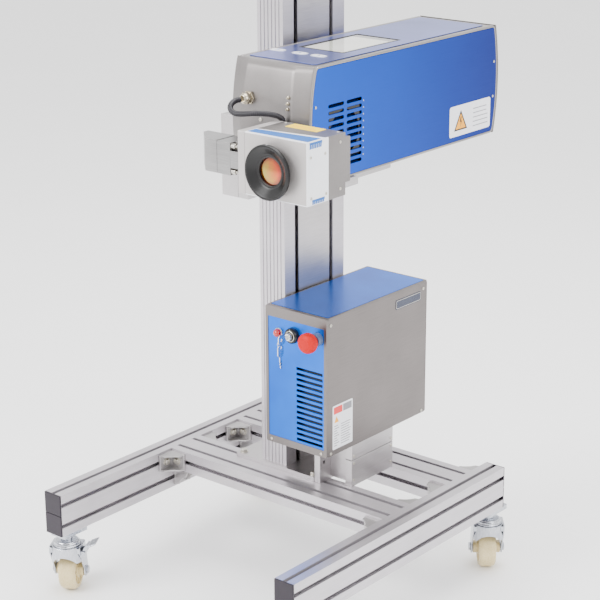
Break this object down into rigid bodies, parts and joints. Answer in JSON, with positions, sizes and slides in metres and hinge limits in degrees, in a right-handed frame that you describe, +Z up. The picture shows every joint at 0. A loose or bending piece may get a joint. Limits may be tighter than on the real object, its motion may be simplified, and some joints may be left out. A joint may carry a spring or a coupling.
{
  "type": "laser date coding machine on a mobile stand",
  "caption": "Mobile laser coder for dates and codes: blue laser source with scan head on a height-adjustable column, power box, caster frame.",
  "frame": {"origin": "on the floor under the middle of the bounding box", "axes": "+Z up, +Y from the scan lens to the rear of the laser source, +X from the column towards the power box and laser source"},
  "size_m": [0.6375, 0.7342, 1.2035],
  "materials": {
    "anodised_profile": "clear anodised satin",
    "black_cap": "moulded matte",
    "cast_bracket": "tumbled casting",
    "zinc_bolt": "zinc plated",
    "zinc_plate": "blue-white zinc plated",
    "milled_aluminium": "fine milled",
    "ground_steel": "ground",
    "black_bakelite": "gloss moulded",
    "grey_casing": "grey sheet, satin",
    "blue_panel": "bright blue semi-gloss",
    "black_plastic": "moulded",
    "red_lamp": "domed lens",
    "key_steel": "nickel plated",
    "red_button": "gloss moulded",
    "bronze": "machined bronze",
    "brushed_shell": "brushed anodised",
    "anodised_blue": "blue anodised, brushed",
    "grey_casting": "fine textured grey",
    "violet_film": "printed film",
    "lcd_window": "clear window over a pale screen",
    "nickelled_brass": "nickelled brass",
    "white_sheet": "white powder coat",
    "gold_mirror": "gold coated",
    "black_anodised": "black anodised",
    "orange_lens": "coated infrared lens",
    "conduit_plastic": "corrugated polyamide",
    "white_button": "moulded",
    "cream_nylon": "cast nylon"
  },
  "bodies": {
    "stand": {"legs": "anodised_profile", "cross_beams": "anodised_profile", "leg_end_caps": "black_cap", "corner_brackets": "cast_bracket", "frame_bolts": "zinc_bolt", "caster_mounts": "zinc_plate", "column_foot_plate": "milled_aluminium", "column_profile": "anodised_profile", "column_centre_cover": "milled_aluminium", "guide_rods": "ground_steel", "column_top_plate": "milled_aluminium", "riser": "milled_aluminium", "power_casing": "grey_casing", "power_lid": "blue_panel", "power_front_panel": "blue_panel", "power_supply": "milled_aluminium", "mains_inlet": "black_plastic", "pilot_lamp": "red_lamp", "key_switch": "black_plastic", "stop_switch_base": "black_plastic"},
    "screw": {"lead_screw": "ground_steel", "handwheel": "black_bakelite"},
    "grip": {"handwheel_grip": "black_bakelite"},
    "carriage": {"carriage_nut": "bronze", "carriage_bracket": "milled_aluminium", "laser_shell": "brushed_shell", "laser_side_panels": "anodised_blue", "front_casting": "grey_casting", "rear_cap": "grey_casting", "laser_tube": "milled_aluminium", "laser_fan_frame": "black_plastic", "top_overlay": "violet_film", "display_window": "lcd_window", "mirror_housing": "brushed_shell", "adjuster_screws": "nickelled_brass", "scan_head_body": "grey_casting", "scan_head_cover": "white_sheet", "galvo_motors": "milled_aluminium", "lens_ring": "black_anodised", "lens": "orange_lens", "conduit_glands": "nickelled_brass", "conduit": "conduit_plastic"},
    "fan": {"laser_fan_rotor": "black_plastic"},
    "key": {"key": "key_steel"},
    "stop": {"stop_button": "red_button"},
    "menu_1": {"menu_button_1": "white_button"},
    "menu_2": {"menu_button_2": "white_button"},
    "menu_3": {"menu_button_3": "white_button"},
    "mirror_x": {"galvo_mirror_x": "gold_mirror"},
    "mirror_y": {"galvo_mirror_y": "gold_mirror"},
    "pedal_l": {"brake_pedal_l": "zinc_plate"},
    "pedal_r": {"brake_pedal_r": "zinc_plate"},
    "fork_fl": {"caster_fork_fl": "zinc_plate"},
    "wheel_fl": {"caster_wheel_fl": "cream_nylon"},
    "fork_fr": {"caster_fork_fr": "zinc_plate"},
    "wheel_fr": {"caster_wheel_fr": "cream_nylon"},
    "fork_rl": {"caster_fork_rl": "zinc_plate"},
    "wheel_rl": {"caster_wheel_rl": "cream_nylon"},
    "fork_rr": {"caster_fork_rr": "zinc_plate"},
    "wheel_rr": {"caster_wheel_rr": "cream_nylon"}
  },
  "joints": [
    {"name": "screw_turn", "type": "hinge", "parent": "stand", "child": "screw", "pos_m": [-0.04275, 0.0647, 1.14], "axis": [0, 0, 1], "range_deg": [-7930, 13690]},
    {"name": "grip_spin", "type": "hinge", "parent": "screw", "child": "grip", "pos_m": [0.01125, 0.0647, 1.1695], "axis": [0, 0, 1], "continuous": true},
    {"name": "carriage_travel", "type": "slide", "parent": "stand", "child": "carriage", "axis": [0, 0, 1], "range_m": [-0.19, 0.11]},
    {"name": "fan_spin", "type": "hinge", "parent": "carriage", "child": "fan", "pos_m": [0.16, -0.086, 0.87575], "axis": [1, 0, 0], "continuous": true},
    {"name": "key_turn", "type": "hinge", "parent": "stand", "child": "key", "pos_m": [0.0515, -0.086, 0.496], "axis": [0, 1, 0], "range_deg": [0, 60]},
    {"name": "stop_press", "type": "slide", "parent": "stand", "child": "stop", "axis": [0, 1, 0], "range_m": [0, 0.003]},
    {"name": "menu_press_1", "type": "slide", "parent": "carriage", "child": "menu_1", "axis": [0, 0, -1], "range_m": [0, 0.0008], "stiffness_N_per_m": 400, "springref_m": -0.0004},
    {"name": "menu_press_2", "type": "slide", "parent": "carriage", "child": "menu_2", "axis": [0, 0, -1], "range_m": [0, 0.0008], "stiffness_N_per_m": 400, "springref_m": -0.0004},
    {"name": "menu_press_3", "type": "slide", "parent": "carriage", "child": "menu_3", "axis": [0, 0, -1], "range_m": [0, 0.0008], "stiffness_N_per_m": 400, "springref_m": -0.0004},
    {"name": "galvo_x_turn", "type": "hinge", "parent": "carriage", "child": "mirror_x", "pos_m": [0.2005, -0.24, 0.8685], "axis": [0, 1, 0], "range_deg": [-12, 12]},
    {"name": "galvo_y_turn", "type": "hinge", "parent": "carriage", "child": "mirror_y", "pos_m": [0.22, -0.256, 0.8485], "axis": [1, 0, 0], "range_deg": [-12, 12]},
    {"name": "swivel_fl", "type": "hinge", "parent": "stand", "child": "fork_fl", "pos_m": [-0.2695, -0.331, 0.1], "axis": [0, 0, 1], "continuous": true},
    {"name": "roll_fl", "type": "hinge", "parent": "fork_fl", "child": "wheel_fl", "pos_m": [-0.2798, -0.31386, 0.0375], "axis": [0.8572, 0.515, 0], "continuous": true},
    {"name": "swivel_fr", "type": "hinge", "parent": "stand", "child": "fork_fr", "pos_m": [0.2695, -0.331, 0.1], "axis": [0, 0, 1], "continuous": true},
    {"name": "roll_fr", "type": "hinge", "parent": "fork_fr", "child": "wheel_fr", "pos_m": [0.2798, -0.31386, 0.0375], "axis": [0.8572, -0.515, 0], "continuous": true},
    {"name": "swivel_rl", "type": "hinge", "parent": "stand", "child": "fork_rl", "pos_m": [-0.2695, 0.225, 0.1], "axis": [0, 0, 1], "continuous": true},
    {"name": "roll_rl", "type": "hinge", "parent": "fork_rl", "child": "wheel_rl", "pos_m": [-0.25664, 0.24032, 0.0375], "axis": [0.766, -0.6428, 0], "continuous": true},
    {"name": "swivel_rr", "type": "hinge", "parent": "stand", "child": "fork_rr", "pos_m": [0.2695, 0.225, 0.1], "axis": [0, 0, 1], "continuous": true},
    {"name": "roll_rr", "type": "hinge", "parent": "fork_rr", "child": "wheel_rr", "pos_m": [0.25664, 0.24032, 0.0375], "axis": [0.766, 0.6428, 0], "continuous": true},
    {"name": "brake_l", "type": "hinge", "parent": "fork_fl", "child": "pedal_l", "pos_m": [-0.24121, -0.314, 0.084], "axis": [-0.515, 0.8572, 0], "range_deg": [0, 8]},
    {"name": "brake_r", "type": "hinge", "parent": "fork_fr", "child": "pedal_r", "pos_m": [0.29779, -0.348, 0.084], "axis": [0.515, 0.8572, 0], "range_deg": [0, 8]}
  ],
  "couplings": [
    {"joint": "screw_turn", "follows": "carriage_travel", "rad_per_m": -1256.6}
  ]
}
